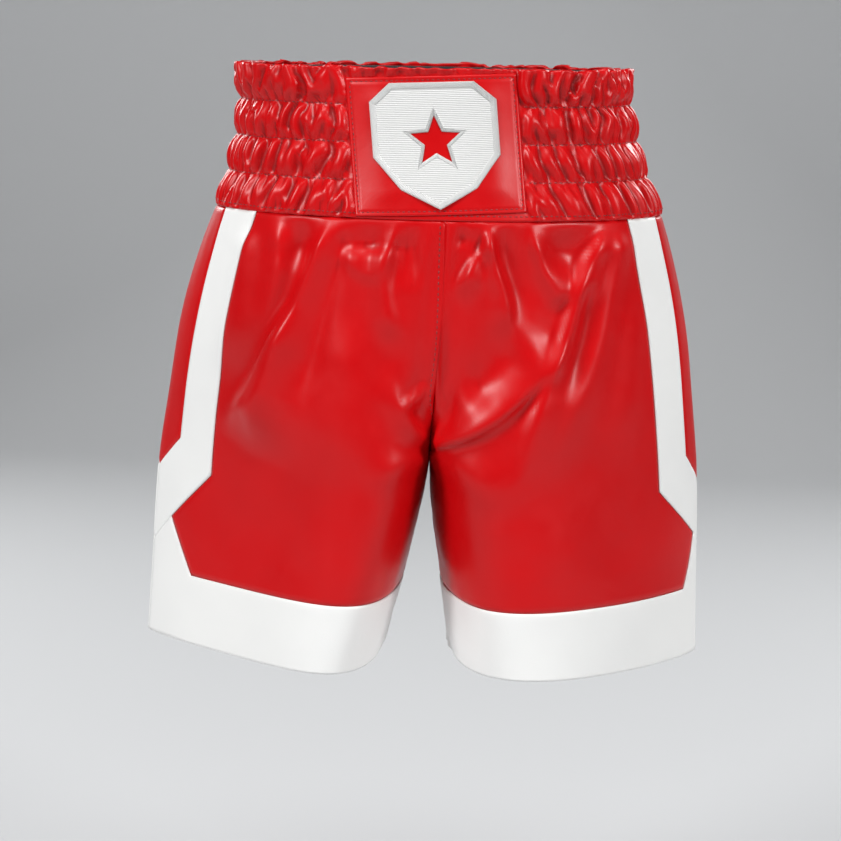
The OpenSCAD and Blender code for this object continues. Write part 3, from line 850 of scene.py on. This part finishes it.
def satin_ring(name, line, width, height, grow):
    """A raised satin-stitch border along a closed outline, grow millimetres outside it."""
    across = np.linspace(-1, 1, 9)
    flat = np.array([offset_line(line, grow + s * width / 2) for s in across])
    dome = height * np.sqrt(np.maximum(0, 1 - across ** 2))[:, None] ** 0.8
    twill = emblem_base(flat)
    outer, inner = on_belly(flat, twill + dome), on_belly(flat, twill - 0.3)
    return sheet_mesh(name, outer[::-1], inner[::-1], wrap=True)


def emblem_field(name):
    """The stitched field between the star's and the shield's outlines."""
    cols = 360
    turn = np.pi / 2 - np.arange(cols) * 2 * np.pi / cols
    d = np.stack([np.cos(turn), np.sin(turn)], 1)

    def reach(corners):
        """How far each ray from the star's centre goes to the outline."""
        a = corners - STAR_CENTRE
        e = np.roll(a, -1, axis=0) - a
        cross = d[:, :1] * e[:, 1] - d[:, 1:] * e[:, 0]
        cross = np.where(np.abs(cross) < 1e-9, 1e9, cross)
        s = (a[:, 0] * e[:, 1] - a[:, 1] * e[:, 0]) / cross
        k = (a[:, 0] * d[:, 1:] - a[:, 1] * d[:, :1]) / cross
        return np.where((k >= -1e-6) & (k <= 1 + 1e-6) & (s > 0), s, 0).max(axis=1)

    near, far = reach(star_line()), reach(shield_line())
    f = np.linspace(1, 0, 16)[:, None]
    r = near + (far - near) * f
    flat = STAR_CENTRE + r[..., None] * d[None]
    twill = emblem_base(flat)
    crown = 0.35 * np.sin(np.pi * f) + 0 * r
    outer, inner = on_belly(flat, twill + 0.55 + crown), on_belly(flat, twill - 0.3)
    return sheet_mesh(name, outer, inner, wrap=True, uv=flat)


# ---- rows of stitches ----

def stitch_rows(name, lines, length=2.9, gap=1.1, radius=0.36):
    """One mesh of short rounded stitches along lines of (points, normals)."""
    sides, verts, faces = 6, [], []
    turn = 2 * np.pi * np.arange(sides)[:, None] / sides
    thick = np.array([0.6, 1.0, 1.0, 0.6])[:, None, None] * radius
    # A stitch's ends dive into the cloth
    up = np.array([-0.30, 0.12, 0.12, -0.30])[:, None, None] + thick * np.sin(turn)
    across = thick * np.cos(turn)
    for points, normals in lines:
        run = distances(points)
        for start in np.arange(0.5, run[-1] - length, length + gap):
            at = np.linspace(start, start + length, 4)
            p, n = follow(points, run, at), follow(normals, run, at)
            n /= norm(n, axis=1, keepdims=True)
            t = p[-1] - p[0]
            t /= norm(t)
            b = np.cross(t, n)
            first = len(verts)
            rings = p[:, None] + n[:, None] * up + b[:, None] * across
            verts += rings.reshape(-1, 3).tolist()
            for i in range(3):
                for k in range(sides):
                    m = (k + 1) % sides
                    faces.append([first + i * sides + k, first + i * sides + m,
                                  first + (i + 1) * sides + m, first + (i + 1) * sides + k])
            faces.append([first + k for k in range(sides)][::-1])
            faces.append([first + 3 * sides + k for k in range(sides)])
    return make_mesh(name, np.array(verts), faces)


# ---- materials ----

class Nodes:
    """A new material with its shader, and short calls for the nodes that feed the shader."""

    def __init__(self, name, color, roughness, **sockets):
        self.material = bpy.data.materials.new(name)
        self.material.use_nodes = True
        self.tree = self.material.node_tree
        self.inputs = self.tree.nodes["Principled BSDF"].inputs
        self.inputs["Base Color"].default_value = (*color, 1)
        self.inputs["Roughness"].default_value = roughness
        for key, value in sockets.items():
            self.inputs[key.replace("_", " ")].default_value = value
        self.coord = self.add("ShaderNodeTexCoord").outputs

    def add(self, kind, **values):
        node = self.tree.nodes.new(kind)
        for key, value in values.items():
            if hasattr(node, key):
                setattr(node, key, value)
            else:
                node.inputs[key.replace("_", " ")].default_value = value
        return node

    def link(self, a, b):
        self.tree.links.new(a, b)

    def noise(self, scale, detail):
        node = self.add("ShaderNodeTexNoise", Scale=scale, Detail=detail)
        self.link(self.coord["Object"], node.inputs["Vector"])
        return node.outputs["Fac"]

    def wave(self, direction, period, distortion, detail):
        """Ridges that are period millimetres apart on the cloth."""
        node = self.add("ShaderNodeTexWave", bands_direction=direction,
                        Scale=math.tau / (20 * period * MM), Distortion=distortion, Detail=detail)
        self.link(self.coord["UV"], node.inputs["Vector"])
        return node.outputs["Fac"]

    def ramp(self, value, *stops):
        """Blends between two stops, each (position, colour or shade of grey)."""
        node = self.add("ShaderNodeValToRGB")
        for element, (at, color) in zip(node.color_ramp.elements, stops):
            element.position = at
            element.color = (*color, 1) if isinstance(color, tuple) else (color, color, color, 1)
        self.link(value, node.inputs["Fac"])
        return node.outputs["Color"]

    def blend(self, how, a, b, target):
        node = self.add("ShaderNodeMix", data_type="RGBA", blend_type=how)
        node.inputs[0].default_value = 1.0
        self.link(a, node.inputs[6])
        self.link(b, node.inputs[7])
        self.link(node.outputs[2], self.inputs[target])

    def paint(self, value, *stops):
        self.link(self.ramp(value, *stops), self.inputs["Base Color"])

    def bump(self, *heights):
        """Chains bumps, each (height output, strength, distance in millimetres)."""
        last = None
        for value, strength, distance in heights:
            node = self.add("ShaderNodeBump", Strength=strength, Distance=distance * MM)
            self.link(value, node.inputs["Height"])
            if last:
                self.link(last.outputs["Normal"], node.inputs["Normal"])
            last = node
        self.link(last.outputs["Normal"], self.inputs["Normal"])


CREASE, OPEN = 0.44, 0.485       # pointiness down in a crease, and where the cloth is open


def vinyl(name, color, dark, roughness, coat):
    """Coated cloth with a fine grain, with painted shade darkening its creases, which are also
    duller.
    """
    k = Nodes(name, color, roughness, Coat_Weight=coat, Coat_Roughness=0.18,
              Specular_IOR_Level=0.25)
    hollow = k.add("ShaderNodeNewGeometry").outputs["Pointiness"]
    # Painted shade: the colour is multiplied down to 0.35 in creases, found from the mesh's
    # pointiness
    k.blend("MULTIPLY", k.ramp(k.noise(9, 3), (0.3, dark), (0.7, color)),
            k.ramp(hollow, (CREASE, 0.35), (OPEN, 1.0)), "Base Color")
    k.blend("LIGHTEN",
            k.ramp(k.noise(60, 4), (0.25, roughness - 0.05), (0.75, roughness + 0.07)),
            k.ramp(hollow, (CREASE, 0.85), (OPEN, 0.0)), "Roughness")
    grain = k.add("ShaderNodeTexVoronoi", feature="SMOOTH_F1", Scale=1100.0)
    k.link(k.coord["Object"], grain.inputs["Vector"])
    k.bump((grain.outputs["Distance"], 0.10, 0.25), (k.noise(420, 3), 0.12, 0.3),
           (k.noise(45, 2), 0.10, 2.0))
    return k.material


def knit(name, color, roughness=0.9, period=0.9):
    k = Nodes(name, color, roughness, Sheen_Weight=0.3, Specular_IOR_Level=0.25)
    lighter = tuple(min(1, c * 1.5 + 0.01) for c in color)
    k.paint(k.noise(120, 3), (0.3, color), (0.75, lighter))
    k.bump(*[(k.wave(direction, period, 1.0, 1.0), 0.5, 0.25) for direction in "XY"])
    return k.material


def darker(color, share):
    return tuple(c * share for c in color)


def satin(name, color, period, direction):
    k = Nodes(name, color, 0.45, Sheen_Weight=0.08, Specular_IOR_Level=0.3)
    threads = k.wave(direction, period, 0.6, 2.0)
    k.paint(threads, (0.1, darker(color, 0.72)), (0.6, color))
    k.bump((threads, 0.8, 0.4), (k.noise(700, 2), 0.15, 0.2))
    return k.material


def thread(name, color):
    k = Nodes(name, color, 0.5, Sheen_Weight=0.2)
    twist = k.noise(1500, 1)
    k.paint(twist, (0.35, darker(color, 0.7)), (0.65, color))
    k.bump((twist, 0.5, 0.15))
    return k.material


def paper(name, color):
    k = Nodes(name, color, 0.8)
    k.bump((k.noise(6, 3), 0.03, 1.0))
    return k.material


RED = vinyl("red_vinyl", (0.540, 0.0018, 0.0036), (0.470, 0.0014, 0.0028), 0.34, 0.03)
WHITE = vinyl("white_vinyl", (0.80, 0.80, 0.785), (0.755, 0.755, 0.745), 0.42, 0.10)
BACKING = knit("knit_backing", (0.010, 0.009, 0.010))
LINING = knit("black_lining", (0.006, 0.006, 0.007), period=0.7)
ELASTIC = knit("elastic", (0.69, 0.69, 0.64), 0.8, 1.4)
STIFFENER = knit("interfacing", (0.69, 0.69, 0.64), 0.9, 0.6)
FACING = knit("white_backing", (0.62, 0.62, 0.60), 0.85, 0.8)
SATIN_LABEL = satin("label_satin", (0.80, 0.80, 0.78), 0.5, "Y")
SATIN_BORDER = satin("satin_border", (0.76, 0.76, 0.75), 1.0, "X")
SATIN_FIELD = satin("satin_field", (0.72, 0.72, 0.71), 1.3, "Y")
# The thread is red like the vinyl; its darker value is partly painted shade for the shadow in the
# stitch holes
RED_THREAD = thread("red_thread", (0.24, 0.002, 0.004))


# ---- build the pieces ----

PARTS = {"front": False, "back": True}      # whether a part is behind the side seam


def build_leg(side):
    leg = make_leg(side)
    panel_z = heights(HEM_TOP_Z)
    stripe_z = heights(SEAM_TIP_Z + 0.9)
    side_z = heights(VALLEY_Z + 0.5)
    for part, back in PARTS.items():
        inner = side_line(leg, stripe_z, stripe_inner(stripe_z), back)
        outer = side_line(leg, stripe_z, stripe_outer(stripe_z), back)
        ends = (outer, inner) if back else (inner, outer)
        stripe = span_sheet(f"{side}_{part}_stripe_vinyl", leg, stripe_z, *ends, STRIPE_SPAN,
                            **OVERLAID)
        finish_piece(stripe, f"{side}_{part}_stripe", WHITE, BACKING)
        line = side_line(leg, panel_z, panel_edge(panel_z), back)
        ends = (line, 1 + 0 * line) if back else (0 * line, line)
        panel = span_sheet(f"{side}_{part}_panel_vinyl", leg, panel_z, *ends, PANEL_SPAN)
        finish_piece(panel, f"{side}_{part}_panel", RED, BACKING)
        hem = hem_sheet(f"{side}_{part}_hem_band_vinyl", leg, back)
        finish_piece(hem, f"{side}_{part}_hem_band", WHITE, FACING)
    edge_u = [side_line(leg, side_z, stripe_outer(side_z), back) for back in (False, True)]
    side_panel = span_sheet(f"{side}_side_panel_vinyl", leg, side_z, *edge_u, SIDE_SPAN)
    finish_piece(side_panel, f"{side}_side_panel", RED, BACKING)
    facing = hem_facing_sheet(f"{side}_hem_facing_cloth", leg)
    finish_piece(facing, f"{side}_hem_facing", FACING, FACING)
    return leg


legs = {side: build_leg(side) for side in ("left", "right")}

band, band_n = make_band()
shell = band_sheet("waistband_shell_vinyl", band, band_n)
finish_piece(shell, "waistband_shell", RED, BACKING)

lining_z = np.linspace(-3.0, -BAND_H, 30)
lining = ring_sheet("waistband_lining_cloth", lining_z, LINING_OFF, LINING_T, 0.35, 31)
finish_piece(lining, "waistband_lining", LINING, LINING)

binding_z = np.linspace(-BAND_H + BINDING_ABOVE, -BAND_H - BINDING_BELOW, 7)
binding = ring_sheet("waist_seam_binding_tape", binding_z, BINDING_OFF, BINDING_T, 0.15, 33)
finish_piece(binding, "waist_seam_binding", LINING, LINING)

for row in range(1, CHANNELS + 1):
    strip = elastic_sheet(f"elastic_row_{row}_band", row)
    finish_piece(strip, f"elastic_row_{row}", ELASTIC, ELASTIC)

patch = patch_sheet("waist_patch_vinyl")
finish_piece(patch, "waist_patch", RED, BACKING)

STIFF_W, STIFF_H = PATCH_W - 8, PATCH_H - 8
stiff_p = belly_grid(STIFF_W, STIFF_H, 4.0)
stiffener = sheet_mesh("patch_interfacing_cloth", on_belly(stiff_p, 0.75), on_belly(stiff_p, 0.2))
finish_piece(stiffener, "patch_interfacing", STIFFENER, STIFFENER)

field = emblem_field("emblem_shield_embroidery")
finish_piece(field, "emblem_shield", SATIN_FIELD, SATIN_FIELD)
border = satin_ring("emblem_border_satin", shield_line(), *BORDER)
finish_piece(border, "emblem_border", SATIN_BORDER, SATIN_BORDER)
star_border = satin_ring("emblem_star_border_satin", star_line(), *STAR_BORDER)
finish_piece(star_border, "emblem_star_border", SATIN_BORDER, SATIN_BORDER)

label = label_sheet("size_label_satin")
finish_piece(label, "size_label", SATIN_LABEL, SATIN_LABEL)


def closed(points):
    return np.concatenate([points, points[:1]])


def band_line(row):
    """The stitched row of the waistband outside the patch, from one side of it to the other."""
    n = band_normals[row]
    outside = beside_patch(band[row])[0] > 1
    start = int(np.argmax(outside & ~np.roll(outside, 1)))
    keep = np.roll(outside, -start)
    return np.roll(band[row], -start, axis=0)[keep], np.roll(n, -start, axis=0)[keep]


band_normals = grid_normals(band, wrap=True)
channel_lines = [band_line(k * CHANNEL_ROWS) for k in range(1, CHANNELS)]
channel_lines.append((closed(band[-3]), closed(band_normals[-3])))
channel_thread = stitch_rows("channel_stitching_thread", channel_lines)
finish_piece(channel_thread, "channel_stitching", RED_THREAD)


def patch_line():
    corners = np.array([(-1, 1), (1, 1), (1, -1), (-1, -1)]) * (
        np.array([PATCH_W, PATCH_H]) / 2 - STITCH_INSET)
    flat = closed(closed_line(corners, 1.0))
    points = on_belly(flat, patch_height(flat))
    w, d = band_half(points[:, 2])
    n = np.stack([points[:, 0] / w ** 2, points[:, 1] / d ** 2, 0 * w], axis=1)
    return points, n / norm(n, axis=1, keepdims=True)


patch_thread = stitch_rows("patch_stitching_thread", [patch_line()], length=2.4, gap=1.3, radius=0.42)
finish_piece(patch_thread, "patch_stitching", RED_THREAD)


def rise_line(back):
    """The line of topstitching beside the centre seam, on the wearer's right."""
    z = np.arange(-BAND_H - 3, CROTCH_Z + RISE_CURVE * 0.4, -1.5)
    leg = legs["right"]
    u = SEAM_BESIDE / width_at(leg, z)
    u = 1 - u if back else u
    p = leg_at(leg, u, z)
    n = np.stack([0 * z, np.full(len(z), 1.0 if back else -1.0), 0 * z], axis=1)
    return p, n


for part, back in PARTS.items():
    seam_thread = stitch_rows(f"{part}_rise_stitching_thread", [rise_line(back)])
    finish_piece(seam_thread, f"{part}_rise_stitching", RED_THREAD)


# ---- floor, light and camera, in metres ----

FLOOR_Z, FLOOR_FRONT, FLOOR_HALF_W = -0.80, -4.5, 5.0
SWEEP_START, SWEEP_R, WALL_TOP = 2.6, 0.8, 3.4
LIT_POINT = (0, 0, -0.25)
EYE, VIEWED_POINT = Vector((0, -1.8, 0.035)), Vector((-0.008, 0, -0.271))
LENS, ROLL = 101.5, math.radians(2.1)


def make_stage():
    """A floor that sweeps up into a wall behind the shorts."""
    profile = [(FLOOR_FRONT, FLOOR_Z), (SWEEP_START, FLOOR_Z)]
    profile += [(SWEEP_START + SWEEP_R * math.sin(a), FLOOR_Z + SWEEP_R * (1 - math.cos(a)))
                for a in np.linspace(0, math.pi / 2, 16)]
    profile += [(SWEEP_START + SWEEP_R, WALL_TOP)]
    verts = [(x, y, z) for x in (-FLOOR_HALF_W, FLOOR_HALF_W) for y, z in profile]
    n = len(profile)
    faces = [[i, n + i, n + i + 1, i + 1] for i in range(n - 1)]
    mesh = bpy.data.meshes.new("studio_floor")
    mesh.from_pydata(verts, [], faces)
    mesh.polygons.foreach_set("use_smooth", [True] * len(mesh.polygons))
    floor = place("studio_floor", mesh)
    floor.data.materials.append(paper("studio_paper", (0.62, 0.63, 0.64)))


def area_light(name, location, power, size=(0.8, 0.9)):
    data = bpy.data.lights.new(name, "AREA")
    data.shape = "ELLIPSE"
    data.size, data.size_y = size
    data.energy = power
    obj = place(name, data)
    obj.location = location
    towards = Vector(LIT_POINT) - Vector(location)
    obj.rotation_euler = towards.to_track_quat("-Z", "Y").to_euler()


def make_lights():
    area_light("key", (-1.8, -1.6, 1.05), 54)
    area_light("fill", (1.9, -1.5, 0.80), 40)
    area_light("overhead", (0, -0.9, 1.7), 19, (1.0, 0.6))
    area_light("back_left", (1.6, 1.9, 0.95), 30)
    area_light("back_right", (-1.6, 1.9, 0.60), 22)
    world = bpy.data.worlds.new("studio")
    world.use_nodes = True
    sky = world.node_tree.nodes["Background"]
    sky.inputs["Color"].default_value = (0.80, 0.81, 0.83, 1)
    sky.inputs["Strength"].default_value = 0.09
    bpy.context.scene.world = world


def make_camera():
    data = bpy.data.cameras.new("camera")
    data.sensor_width = 36.0
    data.lens = LENS
    camera = place("camera", data)
    look = (VIEWED_POINT - EYE).to_track_quat("-Z", "Y").to_matrix().to_4x4()
    camera.matrix_world = Matrix.Translation(EYE) @ look @ Matrix.Rotation(ROLL, 4, "Z")
    bpy.context.scene.camera = camera


make_stage()
make_lights()
make_camera()
bpy.context.scene.view_settings.view_transform = "Standard"
